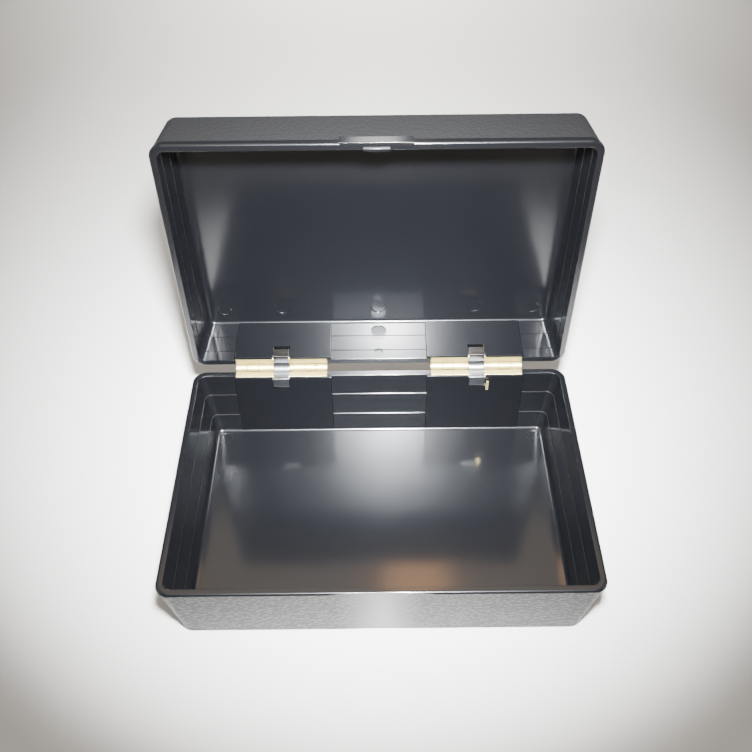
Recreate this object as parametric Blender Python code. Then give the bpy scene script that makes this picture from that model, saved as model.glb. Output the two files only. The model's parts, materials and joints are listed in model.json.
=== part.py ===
"""Shallow moulded-plastic box with a hinged lid, modelled with the lid open.

The base and the lid are thin-walled trays that meet rim to rim. Two brass hinges slide into pockets
moulded in the rear walls, and a steel spring strip across each hinge snaps the lid open or shut.

Lengths are in millimetres and become metres when a mesh is made. Every mesh is drawn with the lid
shut and the hinge axis at its origin. The base parts are placed as drawn, and the lid parts hang on
an empty on the hinge axis, which swings them to the open angle. Across the parting plane the two
halves mirror each other, so most shapes are given by y and by their depth below the rim they are on.
"""

import math

import bmesh
import bpy

MM = 0.001

# Shells, measured at the rims
WIDTH = 156.0
DEPTH = 104.0
BASE_HEIGHT = 33.5
LID_HEIGHT = 24.0
WALL = 2.6
CORNER_RADIUS = 5.0
INNER_CORNER_RADIUS = 3.0
CORNER_STEPS = 6
BASE_DRAFT = 3.5  # how far the base's outside leans in from its rim to its underside
LID_DRAFT = 1.7
EDGE_RADIUS = 2.6  # outer edge round the underside and round the lid's top
FLOOR_FILLET = 1.6
EDGE_STEPS = 3
RIM_ROUND = 0.9  # outer edge of the rim
REAR_ROUND = 0.15  # the same edge along the rear, where the two halves come closest
RIM_STEPS = 2
RIM_CHAMFER = 0.2  # inner edge of the rim
RIM_GAP = 0.3  # between the rims when the lid is shut
BASE_BAND = 1.2  # smooth border band below each rim
LID_BAND = 2.9
BAND_STEP = 0.15
BASE_TIERS = (10.2, 21.5)  # depths of the small steps round the inner walls
LID_TIERS = (4.9, 12.9)
TIER_STEP = 0.25
TIER_RUN = 0.2

# Hinge axis, behind the rear walls and level with the parting plane
AXIS_BACK = 2.0
OPEN_ANGLE = 92.0

# Pads on the rear inner walls that hold the hinges
PAD_INNER_X = 20.0
PAD_OUTER_X = 60.8
PAD_PROUD_AT_RIM = 1.2
PAD_PROUD_AT_FLOOR = 0.8

# Brass leaves
HINGE_X = 41.1
HINGE_LENGTH = 38.1
CLEARANCE = 0.3
BRASS = 0.5
FLANGE_TOP = 0.7  # below the hinge axis
FLANGE_BACK = 1.85  # flange's rear edge, in front of the hinge axis
PLATE_FRONT = 4.7
PLATE_LENGTH = 10.5
PIN_RADIUS = 0.75
KNUCKLE_INNER = PIN_RADIUS + CLEARANCE
KNUCKLE_OUTER = 1.65
KNUCKLE_OPENING = 36.0  # degrees left open in each rolled knuckle
ARC_STEPS = 20
PITCHES = 8  # one knuckle each, apart from the two middle ones
NARROW_KNUCKLE = 1.2

# Steel spring strips
SPRING_WIDTH = 6.5
SPRING_THICKNESS = 0.25
SPRING_HOOK_DEPTH = 4.75
SPRING_BEND = 0.45
SPRING_LIFT = 2.7  # where the strip leaves each flange, in front of the hinge axis
SPAN_STEPS = 6
BEND_STEPS = 4

# Openings for each spring strip
WINDOW_HALF = SPRING_WIDTH / 2 + CLEARANCE
WINDOW_TOP = 4.0
WINDOW_BOTTOM = 6.6
LEAF_WINDOW_BOTTOM = 7.8  # past the shell's opening, so that the sheet's edge doesn't show in it
SEAT_DEPTH = FLANGE_TOP + BRASS + CLEARANCE - RIM_GAP / 2

# Locking tang on one base leaf
TANG_LEFT = 3.95
TANG_RIGHT = 4.95
TANG_ROOT = (4.7, 6.2)
TANG_BAR = (2.0, 7.2)
TANG_THICKNESS = 0.45

# Front of the box
LEDGE_HALF = 12.8
LEDGE_PROUD = 0.25
LEDGE_DEPTHS = (0.05, 4.6)
LEDGE_CHAMFER = 0.15
CATCH_HALF = 4.6
CATCH_REACH = 0.8  # past the lid's rim
CATCH_ROOT = 4.5
CATCH_THICKNESS = 1.0
CATCH_SETBACK = 0.15  # from the lid's inner wall
SCOOP_HALF = 18.0
SCOOP_DEPTH = 0.6
SCOOP_STEPS = 10

BASE = -1  # the base lies below the parting plane
LID = 1
AXIS_NAMES = {BASE: "base_axis", LID: "lid_axis"}
SHARP_DEGREES = 35.0
FRONT = -(AXIS_BACK + DEPTH)
OUTSIDE = 1.0  # how far a cutter starts outside the surface that it enters


def clear_scene():
    for item in list(bpy.data.objects):
        bpy.data.objects.remove(item, do_unlink=True)


def material(name, colour, roughness, metallic=0.0):
    made = bpy.data.materials.new(name)
    made.use_nodes = True
    shader = made.node_tree.nodes["Principled BSDF"]
    shader.inputs["Base Color"].default_value = (*colour, 1.0)
    shader.inputs["Roughness"].default_value = roughness
    shader.inputs["Metallic"].default_value = metallic
    return made


def height_of(side):
    return BASE_HEIGHT if side == BASE else LID_HEIGHT


def slope_of(side):
    return (BASE_DRAFT if side == BASE else LID_DRAFT) / height_of(side)


def level(side, depth):
    """Height above the hinge axis of a point at this depth below the rim."""
    return side * (RIM_GAP / 2 + depth)


def pad_face(side, depth):
    """y of a hinge pad's inner face."""
    floor = height_of(side) - WALL
    proud = PAD_PROUD_AT_RIM + (PAD_PROUD_AT_FLOOR - PAD_PROUD_AT_RIM) * depth / floor
    return -(AXIS_BACK + WALL + slope_of(side) * depth + proud)


def make_axis(side):
    """Empty on the hinge axis that the parts of this side hang on."""
    axis = bpy.data.objects.new(AXIS_NAMES[side], None)
    bpy.context.collection.objects.link(axis)
    axis.location = (0.0, (DEPTH / 2 + AXIS_BACK) * MM, (BASE_HEIGHT + RIM_GAP / 2) * MM)
    if side == LID:
        axis.rotation_euler.x = math.radians(-OPEN_ANGLE)


def make_object(name, mesh_data, side):
    """Object with this mesh, hung on its side's axis."""
    mesh = bpy.data.meshes.new(name)
    bmesh.ops.recalc_face_normals(mesh_data, faces=mesh_data.faces)
    mesh_data.to_mesh(mesh)
    mesh_data.free()
    made = bpy.data.objects.new(name, mesh)
    bpy.context.collection.objects.link(made)
    made.parent = bpy.data.objects[AXIS_NAMES[side]]
    return made


def finish(made, look):
    """Give a part its material and smooth its round faces."""
    made.data.materials.append(look)
    made.data.shade_smooth()
    made.data.set_sharp_from_angle(angle=math.radians(SHARP_DEGREES))


def add_loft(mesh_data, rings):
    """Join rings of equal length, in millimetres, into one closed body with flat ends."""
    loops = [[mesh_data.verts.new([c * MM for c in point]) for point in ring] for ring in rings]
    count = len(loops[0])
    for low, high in zip(loops, loops[1:]):
        for i in range(count):
            j = (i + 1) % count
            mesh_data.faces.new((low[i], low[j], high[j], high[i]))
    mesh_data.faces.new(list(reversed(loops[0])))
    mesh_data.faces.new(loops[-1])


def add_prism(mesh_data, outline, x_from, x_to):
    """Extrude an outline of (y, z) points along X."""
    add_loft(mesh_data, [[(x, y, z) for y, z in outline] for x in (x_from, x_to)])


def box_outline(side, y_from, y_to, depth_from, depth_to):
    low, high = level(side, depth_from), level(side, depth_to)
    return [(y_from, low), (y_to, low), (y_to, high), (y_from, high)]


def combine(target, name, tool_data, side, operation):
    """Apply a hidden tool body to the target with an exact Boolean."""
    tool = make_object(name, tool_data, side)
    tool.hide_render = True
    tool.display_type = "WIRE"
    step = target.modifiers.new(name, "BOOLEAN")
    step.operation = operation
    step.solver = "EXACT"
    step.object = tool


def combine_prism(target, name, outline, x_from, x_to, side, operation):
    tool = bmesh.new()
    add_prism(tool, outline, x_from, x_to)
    combine(target, name, tool, side, operation)


def combine_at_hinges(target, name, outline, half_from, half_to, side, operation):
    """The same prism at both hinges, mirrored left to right."""
    tool = bmesh.new()
    for sign in (-1, 1):
        add_prism(tool, outline, sign * half_from, sign * half_to)
    combine(target, name, tool, side, operation)


def rim_ring(inset, rear_inset, depth, radius, side):
    """A rounded rectangle this far inside the outer rim, at this depth."""
    half_x = WIDTH / 2 - inset - radius
    back = -AXIS_BACK - rear_inset - radius
    front = FRONT + inset + radius
    points = []
    for quarter, (x, y) in enumerate(((half_x, back), (-half_x, back), (-half_x, front), (half_x, front))):
        for step in range(CORNER_STEPS + 1):
            angle = math.radians(90 * (quarter + step / CORNER_STEPS))
            points.append((x + radius * math.cos(angle), y + radius * math.sin(angle), level(side, depth)))
    return points


def rounded_rim():
    """Insets and depths from the flat of the rim round its outer edge."""
    angles = [math.radians(90 * step / RIM_STEPS) for step in range(RIM_STEPS + 1)]
    return [(RIM_ROUND * (1 - math.sin(a)), RIM_ROUND * (1 - math.cos(a))) for a in angles]


def rounded_end(inset, depth, radius):
    """Insets and depths down a quarter round that ends at this depth."""
    angles = [math.radians(90 * step / EDGE_STEPS) for step in range(EDGE_STEPS + 1)]
    return [(inset + radius * (1 - math.cos(a)), depth - radius * (1 - math.sin(a))) for a in angles]


def tray(side, tiers):
    """A thin-walled tray as one closed body: underside, outer wall, rim, inner wall and floor."""
    height, slope = height_of(side), slope_of(side)
    band = BASE_BAND if side == BASE else LID_BAND
    outer = rounded_rim() + [(slope * band, band), (slope * band + BAND_STEP, band + BAND_STEP)]
    outer_lean = slope * (height - EDGE_RADIUS) + BAND_STEP
    outer += rounded_end(outer_lean, height, EDGE_RADIUS)

    inner = [(WALL - RIM_CHAMFER, 0), (WALL, RIM_CHAMFER)]
    for number, depth in enumerate(tiers):
        inset = WALL + slope * depth + TIER_STEP * number
        inner += [(inset, depth), (inset + TIER_STEP, depth + TIER_RUN)]
    floor = height - WALL
    inner_lean = WALL + slope * (floor - FLOOR_FILLET) + TIER_STEP * len(tiers)
    inner += rounded_end(inner_lean, floor, FLOOR_FILLET)

    rings = []
    for inset, depth in reversed(outer):
        rear_inset = inset * REAR_ROUND / RIM_ROUND if depth < RIM_ROUND else inset
        radius = CORNER_RADIUS - max(0, inset - outer_lean)
        rings.append(rim_ring(inset, rear_inset, depth, radius, side))
    for inset, depth in inner:
        radius = INNER_CORNER_RADIUS - max(0, inset - inner_lean)
        rings.append(rim_ring(inset, inset, depth, radius, side))
    body = bmesh.new()
    add_loft(body, rings)
    return body


def fit_hinge_pads(shell, side):
    """Add the two pads to the rear inner wall, then cut them for the leaves and the springs."""
    name = shell.name
    slope = slope_of(side)
    root = height_of(side) - WALL / 2
    middle = AXIS_BACK + WALL / 2
    outline = [
        (-middle, level(side, 0)),
        (pad_face(side, 0) + RIM_CHAMFER, level(side, 0)),
        (pad_face(side, RIM_CHAMFER), level(side, RIM_CHAMFER)),
        (pad_face(side, root), level(side, root)),
        (-middle - slope * root, level(side, root)),
    ]
    combine_at_hinges(shell, name + "_pads", outline, PAD_INNER_X, PAD_OUTER_X, side, "UNION")

    reach = HINGE_LENGTH / 2 + CLEARANCE
    inner, outer = HINGE_X - reach, HINGE_X + reach
    front, rear = -PLATE_FRONT - CLEARANCE, -PLATE_FRONT + BRASS + CLEARANCE
    pocket = box_outline(side, front, rear, -OUTSIDE, PLATE_LENGTH + 2 * CLEARANCE)
    combine_at_hinges(shell, name + "_pockets", pocket, inner, outer, side, "DIFFERENCE")
    seat = box_outline(side, front, -AXIS_BACK + OUTSIDE, -OUTSIDE, SEAT_DEPTH)
    combine_at_hinges(shell, name + "_seats", seat, inner, outer, side, "DIFFERENCE")

    left, right = HINGE_X - WINDOW_HALF, HINGE_X + WINDOW_HALF
    past_face = pad_face(side, WINDOW_BOTTOM) - OUTSIDE
    inside = -PLATE_FRONT + BRASS / 2
    notch = box_outline(side, past_face, inside, -OUTSIDE, SEAT_DEPTH)
    combine_at_hinges(shell, name + "_notches", notch, left, right, side, "DIFFERENCE")
    window = box_outline(side, past_face, inside, WINDOW_TOP, WINDOW_BOTTOM)
    combine_at_hinges(shell, name + "_windows", window, left, right, side, "DIFFERENCE")


def cut_tang_slot(shell):
    """Widen the right-hand window of the base for the locking tang."""
    past_face, inside = pad_face(BASE, WINDOW_BOTTOM) - OUTSIDE, -PLATE_FRONT + BRASS / 2
    outline = box_outline(BASE, past_face, inside, TANG_ROOT[0] - CLEARANCE, WINDOW_BOTTOM)
    left, right = HINGE_X + WINDOW_HALF - BRASS, HINGE_X + TANG_RIGHT + CLEARANCE
    combine_prism(shell, "tang_slot", outline, left, right, BASE, "DIFFERENCE")


def cut_scoop(shell):
    """Shallow upright hollow in the middle of the base's front wall, below the lid's ledge."""
    radius = (SCOOP_HALF**2 + SCOOP_DEPTH**2) / (2 * SCOOP_DEPTH)
    sweep = math.asin(SCOOP_HALF / radius)
    rings = []
    for depth in (-OUTSIDE, BASE_HEIGHT + OUTSIDE):
        face = FRONT + slope_of(BASE) * depth
        ring = []
        for step in range(SCOOP_STEPS + 1):
            angle = sweep * (2 * step / SCOOP_STEPS - 1)
            y = face + SCOOP_DEPTH - radius * (1 - math.cos(angle))
            ring.append((radius * math.sin(angle), y, level(BASE, depth)))
        ring += [(SCOOP_HALF, face - OUTSIDE, ring[0][2]), (-SCOOP_HALF, face - OUTSIDE, ring[0][2])]
        rings.append(ring)
    tool = bmesh.new()
    add_loft(tool, rings)
    combine(shell, "scoop", tool, BASE, "DIFFERENCE")


def cut_catch_notch(shell):
    """Notch in the base's inner front rim that the lid's catch lip drops into."""
    inner = FRONT + WALL
    front = inner + CATCH_SETBACK - CATCH_THICKNESS - CLEARANCE
    outline = box_outline(BASE, front, inner + OUTSIDE, -OUTSIDE, CATCH_REACH + CLEARANCE)
    half = CATCH_HALF + CLEARANCE
    combine_prism(shell, "catch_notch", outline, -half, half, BASE, "DIFFERENCE")


def add_ledge_and_catch(shell):
    """Thumb ledge outside the lid's front wall, and the catch lip inside its rim."""
    near, far = LEDGE_DEPTHS
    proud = FRONT - LEDGE_PROUD
    outline = [
        (FRONT + WALL / 2, level(LID, near)),
        (proud, level(LID, near)),
        (proud + slope_of(LID) * far, level(LID, far - LEDGE_CHAMFER)),
        (proud + slope_of(LID) * far + LEDGE_CHAMFER, level(LID, far)),
        (FRONT + WALL / 2, level(LID, far)),
    ]
    combine_prism(shell, "thumb_ledge", outline, -LEDGE_HALF, LEDGE_HALF, LID, "UNION")

    inner = FRONT + WALL + CATCH_SETBACK
    outline = box_outline(LID, inner - CATCH_THICKNESS, inner, -CATCH_REACH, CATCH_ROOT)
    combine_prism(shell, "catch_lip", outline, -CATCH_HALF, CATCH_HALF, LID, "UNION")


def make_base_shell(look):
    shell = make_object("base_shell", tray(BASE, BASE_TIERS), BASE)
    finish(shell, look)
    fit_hinge_pads(shell, BASE)
    cut_tang_slot(shell)
    cut_scoop(shell)
    cut_catch_notch(shell)


def make_lid_shell(look):
    shell = make_object("lid_shell", tray(LID, LID_TIERS), LID)
    finish(shell, look)
    fit_hinge_pads(shell, LID)
    add_ledge_and_catch(shell)


def knuckle_outline(side):
    """A rolled knuckle and the neck that joins it to its flange."""
    top, bottom = side * FLANGE_TOP, side * (FLANGE_TOP + BRASS)
    neck = -FLANGE_BACK - BRASS
    first_inner = 180 + math.degrees(math.asin(FLANGE_TOP / KNUCKLE_INNER))
    first_outer = 180 + math.degrees(math.asin((FLANGE_TOP + BRASS) / KNUCKLE_OUTER))
    last = 540 - KNUCKLE_OPENING + (first_inner - 180)
    points = [(neck, top)]
    for radius, start, end in ((KNUCKLE_INNER, first_inner, last), (KNUCKLE_OUTER, last, first_outer)):
        for step in range(ARC_STEPS + 1):
            angle = math.radians(start + (end - start) * step / ARC_STEPS)
            points.append((radius * math.cos(angle), -side * radius * math.sin(angle)))
    return points + [(neck, bottom)]


def knuckle_spans():
    """x ranges of the knuckles from the hinge's middle, nearest first: lid, base, lid, base."""
    pitch = HINGE_LENGTH / PITCHES
    gap = CLEARANCE / 2
    narrow = SPRING_WIDTH / 2 + CLEARANCE
    spans = [(narrow, narrow + NARROW_KNUCKLE)]
    for number in range(1, PITCHES // 2):
        spans.append((number * pitch + gap, (number + 1) * pitch - gap))
    spans[-1] = (spans[-1][0], HINGE_LENGTH / 2)
    return spans


def make_leaf(name, side, x_centre, look):
    """Plate in the pocket, flange over the rim, and every second knuckle round the pin."""
    top, bottom = side * FLANGE_TOP, side * (FLANGE_TOP + BRASS)
    end = side * (FLANGE_TOP + PLATE_LENGTH)
    outline = [
        (-FLANGE_BACK, top),
        (-FLANGE_BACK, bottom),
        (-PLATE_FRONT + BRASS, bottom),
        (-PLATE_FRONT + BRASS, end),
        (-PLATE_FRONT, end),
        (-PLATE_FRONT, top),
    ]
    body = bmesh.new()
    add_prism(body, outline, x_centre - HINGE_LENGTH / 2, x_centre + HINGE_LENGTH / 2)
    leaf = make_object(name, body, side)
    finish(leaf, look)

    rolls = bmesh.new()
    first = 0 if side == LID else 1
    for near, far in knuckle_spans()[first::2]:
        for sign in (-1, 1):
            add_prism(rolls, knuckle_outline(side), x_centre + sign * near, x_centre + sign * far)
    combine(leaf, name + "_knuckles", rolls, side, "UNION")

    front, rear = -PLATE_FRONT - BRASS, -PLATE_FRONT + 2 * BRASS
    window = box_outline(side, front, rear, WINDOW_TOP, LEAF_WINDOW_BOTTOM)
    left, right = x_centre - WINDOW_HALF, x_centre + WINDOW_HALF
    combine_prism(leaf, name + "_window", window, left, right, side, "DIFFERENCE")
    return leaf


def add_tang(leaf, x_centre):
    """Locking tang bent out of the plate, through the widened window and over the pad's face."""
    bar_back = pad_face(BASE, TANG_BAR[1]) - CLEARANCE
    bar_front = bar_back - TANG_THICKNESS
    low, high = (level(BASE, depth) for depth in TANG_BAR)
    root_low, root_high = (level(BASE, depth) for depth in TANG_ROOT)
    outline = [
        (-PLATE_FRONT + BRASS / 2, root_low),
        (bar_back, root_low),
        (bar_back, low),
        (bar_front, low),
        (bar_front, high),
        (bar_back, high),
        (bar_back, root_high),
        (-PLATE_FRONT + BRASS / 2, root_high),
    ]
    left, right = x_centre + TANG_LEFT, x_centre + TANG_RIGHT
    combine_prism(leaf, "tang", outline, left, right, BASE, "UNION")


def make_pin(name, x_centre, look):
    pin = bmesh.new()
    circle = []
    for step in range(ARC_STEPS):
        angle = 2 * math.pi * step / ARC_STEPS
        circle.append((PIN_RADIUS * math.cos(angle), PIN_RADIUS * math.sin(angle)))
    reach = HINGE_LENGTH / 2 - CLEARANCE
    add_prism(pin, circle, x_centre - reach, x_centre + reach)
    finish(make_object(name, pin, BASE), look)


def swing(point):
    """Turn a (y, z) point of the shut lid to the open angle about the hinge axis."""
    angle = math.radians(-OPEN_ANGLE)
    y, z = point
    return (y * math.cos(angle) - z * math.sin(angle), y * math.sin(angle) + z * math.cos(angle))


def spring_half(side):
    """Centre line of the strip from its hooked end in the window to the edge of the flange."""
    stand_off = CLEARANCE + SPRING_THICKNESS / 2
    run = side * (FLANGE_TOP - stand_off)
    hook = level(side, SPRING_HOOK_DEPTH)
    return [
        (-PLATE_FRONT + BRASS / 2, hook),
        (pad_face(side, SPRING_HOOK_DEPTH) - stand_off, hook),
        (pad_face(side, 0) - stand_off, run),
        (-SPRING_LIFT, run),
    ]


def spring_span(near, far):
    """Hollow arc between the flanges that passes the pin with clearance."""
    closest = PIN_RADIUS + CLEARANCE + SPRING_THICKNESS / 2
    middle = [(a + b) / 2 for a, b in zip(near, far)]
    reach = math.hypot(*middle)
    out_y, out_z = middle[0] / reach, middle[1] / reach
    half = math.dist(near, far) / 2
    sag = reach - closest
    radius = (half**2 + sag**2) / (2 * sag)
    sweep = math.asin(half / radius)
    points = []
    for step in range(SPAN_STEPS + 1):
        angle = sweep * (2 * step / SPAN_STEPS - 1)
        away = closest + radius * (1 - math.cos(angle))
        along = radius * math.sin(angle)
        points.append((out_y * away + out_z * along, out_z * away - out_y * along))
    return points


def round_corners(path, radius):
    """Replace each inner corner of a path with a short curve that is tangent to both its sides."""
    rounded = [path[0]]
    for before, corner, after in zip(path, path[1:], path[2:]):
        ends = []
        for other in (before, after):
            span = math.dist(corner, other)
            ends.append([c + (o - c) * radius / span for c, o in zip(corner, other)])
        for step in range(BEND_STEPS + 1):
            t = step / BEND_STEPS
            weights = ((1 - t) ** 2, 2 * t * (1 - t), t * t)
            curve = zip(weights, (ends[0], corner, ends[1]))
            rounded.append(tuple(map(sum, zip(*((w * y, w * z) for w, (y, z) in curve)))))
    return rounded + [path[-1]]


def thicken(path, thickness):
    """Closed outline this thick along an open path."""
    sides = ([], [])
    for i, (y, z) in enumerate(path):
        before, after = path[max(i - 1, 0)], path[min(i + 1, len(path) - 1)]
        run_y, run_z = after[0] - before[0], after[1] - before[1]
        half = thickness / 2 / math.hypot(run_y, run_z)
        sides[0].append((y - run_z * half, z + run_y * half))
        sides[1].append((y + run_z * half, z - run_y * half))
    return sides[0] + sides[1][::-1]


def make_spring(name, x_centre, look):
    """Flat strip hooked in the base's window, carried over both flanges and into the lid's window."""
    lower, upper = spring_half(BASE), [swing(point) for point in reversed(spring_half(LID))]
    span = spring_span(lower[-1], upper[0])
    path = round_corners(lower, SPRING_BEND) + span[1:-1] + round_corners(upper, SPRING_BEND)
    outline = thicken(path, SPRING_THICKNESS)
    strip = bmesh.new()
    add_prism(strip, outline, x_centre - SPRING_WIDTH / 2, x_centre + SPRING_WIDTH / 2)
    finish(make_object(name, strip, BASE), look)


def main():
    clear_scene()
    plastic = material("black_plastic", (0.012, 0.013, 0.016), 0.3)
    brass = material("brass", (0.83, 0.74, 0.45), 0.28, 1.0)
    steel = material("spring_steel", (0.62, 0.63, 0.66), 0.25, 1.0)
    pin_steel = material("pin_steel", (0.55, 0.55, 0.56), 0.35, 1.0)

    make_axis(BASE)
    make_axis(LID)
    make_base_shell(plastic)
    make_lid_shell(plastic)
    for label, sign in (("left", -1), ("right", 1)):
        x_centre = sign * HINGE_X
        base_leaf = make_leaf(f"hinge_{label}_base_leaf", BASE, x_centre, brass)
        if label == "right":
            add_tang(base_leaf, x_centre)
        make_leaf(f"hinge_{label}_lid_leaf", LID, x_centre, brass)
        make_pin(f"hinge_{label}_pin", x_centre, pin_steel)
        make_spring(f"hinge_{label}_spring", x_centre, steel)


main()
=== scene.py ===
"""Looks of the hinged moulded-plastic box: detailed surfaces, materials, floor, lights and camera.

Lengths are in millimetres and become metres when a mesh is placed. Every piece is drawn as the CAD parts
are, with the lid shut and the hinge axis at its origin, and is then put in its place by the frame's own
joint: the base pieces on the axis, the lid pieces swung to the open angle. Across the parting plane the
two halves mirror each other, so most shapes are given by y and by their depth below the rim they are on.
Materials, floor, lights and camera are in metres.
"""

import json
import math

import bmesh
import bpy
from mathutils import Matrix, Vector


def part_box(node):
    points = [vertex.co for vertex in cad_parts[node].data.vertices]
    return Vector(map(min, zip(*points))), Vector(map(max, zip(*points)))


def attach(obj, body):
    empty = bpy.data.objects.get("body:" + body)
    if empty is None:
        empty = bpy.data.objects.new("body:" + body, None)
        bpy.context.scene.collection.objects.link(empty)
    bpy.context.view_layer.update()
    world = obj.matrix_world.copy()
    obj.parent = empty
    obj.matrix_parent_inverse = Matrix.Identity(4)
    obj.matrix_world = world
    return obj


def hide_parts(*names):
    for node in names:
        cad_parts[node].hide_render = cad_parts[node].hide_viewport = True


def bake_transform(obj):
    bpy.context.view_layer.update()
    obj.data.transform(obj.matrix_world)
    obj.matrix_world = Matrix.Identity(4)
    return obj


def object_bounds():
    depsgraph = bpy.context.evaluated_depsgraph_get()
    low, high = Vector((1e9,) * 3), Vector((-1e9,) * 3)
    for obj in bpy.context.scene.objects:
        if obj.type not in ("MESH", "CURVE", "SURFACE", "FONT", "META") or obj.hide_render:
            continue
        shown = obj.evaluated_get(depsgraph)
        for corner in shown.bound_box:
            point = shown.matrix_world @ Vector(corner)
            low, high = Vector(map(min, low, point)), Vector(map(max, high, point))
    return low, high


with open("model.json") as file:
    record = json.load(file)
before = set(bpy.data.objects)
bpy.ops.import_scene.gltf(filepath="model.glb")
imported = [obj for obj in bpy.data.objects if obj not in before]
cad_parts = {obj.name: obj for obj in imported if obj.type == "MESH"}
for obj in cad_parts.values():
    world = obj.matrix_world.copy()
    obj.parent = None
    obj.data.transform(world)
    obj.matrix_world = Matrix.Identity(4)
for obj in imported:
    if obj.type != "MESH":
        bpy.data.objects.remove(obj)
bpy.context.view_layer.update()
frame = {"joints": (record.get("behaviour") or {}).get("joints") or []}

MM = 0.001
BASE = -1  # the base lies below the parting plane
LID = 1
LABELS = {BASE: "base", LID: "lid"}

# Placing, from the frame
hinge = frame["joints"][0]
AXIS = Vector(hinge["pos_m"])
OPEN_ANGLE = math.radians(hinge["range_deg"][1])
PLACES = {
    BASE: Matrix.Translation(AXIS) @ Matrix.Scale(MM, 4),
    LID: Matrix.Translation(AXIS) @ Matrix.Rotation(-OPEN_ANGLE, 4, "X") @ Matrix.Scale(MM, 4),
}
base_low, base_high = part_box("base_shell")
leaf_low, leaf_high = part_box("hinge_right_base_leaf")

# Shells, measured at the rims
WIDTH = (base_high.x - base_low.x) / MM
DEPTH = (base_high.y - base_low.y) / MM
BASE_HEIGHT = (base_high.z - base_low.z) / MM
LID_HEIGHT = 24.0
WALL = 2.6
CORNER_RADIUS = 5.0
INNER_CORNER_RADIUS = 3.0
CORNER_STEPS = 14
BASE_DRAFT = 3.5
LID_DRAFT = 1.7
EDGE_RADIUS = 2.6
FLOOR_FILLET = 1.6
EDGE_STEPS = 9
RIM_ROUND = 0.9
REAR_ROUND = 0.15  # the same edge along the rear, where the two halves come closest
RIM_SOFT = 0.2  # the rim's inner edge
RIM_STEPS = 6
RIM_GAP = 0.3  # between the rims when the lid is shut
BANDS = {BASE: 1.2, LID: 2.9}  # depth of the plain band round the outside of the rim
BAND_STEP = 0.15
BAND_RUN = 0.35
TIERS = {BASE: (10.2, 21.5), LID: (4.9, 12.9)}  # depths of the small steps down the inner walls
TIER_STEP = 0.25
TIER_RUN = 0.12
STEP_POINTS = 4
AXIS_BACK = (AXIS.y - base_high.y) / MM  # from the rear edge of the rims to the hinge axis
FRONT = -(AXIS_BACK + DEPTH)  # y of the front edge of the rims

# Hinge pads
PAD_INNER_X = 20.0
PAD_OUTER_X = 60.8
PAD_PROUD_AT_RIM = 1.2
PAD_PROUD_AT_FLOOR = 0.8
PAD_EDGE = 0.45
PAD_TOP_SOFT = 0.3

# Ejector marks, sunk in the faces
MARK_DEPTH = 0.25  # also the radius of the mark's rounded edge
CIRCLE_STEPS = 48
CORNER_MARKS = {BASE: (67.2, -13.0), LID: (66.0, -14.0)}  # |x| and y
CORNER_MARK_RADIUS = 2.6
ROW_MARK_Y = -15.0
ROW_MARK_RADIUS = 3.1
REAR_MARKS = ((15.6, 3.1), (3.8, 1.6))  # depth and radius

# Hinges
HINGE_X = (leaf_low.x + leaf_high.x) / 2 / MM
HINGE_LENGTH = (leaf_high.x - leaf_low.x) / MM
CLEARANCE = 0.3
BRASS = 0.5  # thickness of the sheet
FLANGE_TOP = 0.7  # from the axis down to the flange
FLANGE_BACK = 1.85  # from the axis to where the sheet turns up round the pin
PLATE_FRONT = 4.7
PLATE_LENGTH = 10.5
PIN_RADIUS = 0.75
PIN_SOFT = 0.3
KNUCKLE_RADIUS = 1.35  # to the middle of the rolled sheet
KNUCKLE_START = 245.0  # degrees round the pin
KNUCKLE_END = 546.0
KNUCKLE_STEPS = 40
PITCHES = 8  # knuckle widths along the hinge
NARROW_KNUCKLE = 1.2
SHEET_BEND = 0.5
BEND_STEPS = 6
BEND_SHARE = 0.48  # the most of a side that the curve at its end may take
BRASS_BEVEL = 0.14
BEVEL_SEGMENTS = 2
BEVEL_DEGREES = 50.0  # edges sharper than this are bevelled

# Steel spring strips
SPRING_WIDTH = 6.5
SPRING_THICKNESS = 0.25
SPRING_HOOK_DEPTH = 4.75
SPRING_BEND = 0.45
SPRING_BEVEL = 0.05
SPRING_LIFT = 2.7
SPRING_COLUMNS = 8
SPAN_STEPS = 24

# Windows through the pads and the leaves for the strips' hooks, and the seats of the flanges
WINDOW_HALF = SPRING_WIDTH / 2 + CLEARANCE
WINDOW_TOP = 4.0
WINDOW_BOTTOM = 6.6
LEAF_WINDOW_BOTTOM = 7.8  # past the shell's opening, so that the sheet's edge doesn't show in it
SEAT_DEPTH = FLANGE_TOP + BRASS + CLEARANCE - RIM_GAP / 2

# Locking tang of the right-hand base leaf: x from the hinge's middle, and depths
TANG_LEFT = 3.95
TANG_RIGHT = 4.95
TANG_ROOT = (4.7, 6.2)
TANG_BAR = (2.0, 7.2)
TANG_THICKNESS = 0.45

# Front of the box
LEDGE_HALF = 12.8
LEDGE_PROUD = 0.25
LEDGE_DEPTHS = (0.05, 4.6)
LEDGE_ROUND = 0.12
CATCH_HALF = 4.6
CATCH_REACH = 0.8
CATCH_ROOT = 4.5
CATCH_THICKNESS = 1.0
CATCH_SETBACK = 0.15
SCOOP_HALF = 18.0
SCOOP_DEPTH = 0.6
SCOOP_STEPS = 48

OUTSIDE = 1.0  # how far a cutter starts outside the surface that it enters
SHARP_DEGREES = 28.0  # edges sharper than this aren't shaded smooth
SHEET_SHARP_DEGREES = 40.0
SATIN, GRAINED, POLISHED, SCOOPED = 0, 1, 2, 3  # material slots of a shell

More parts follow.
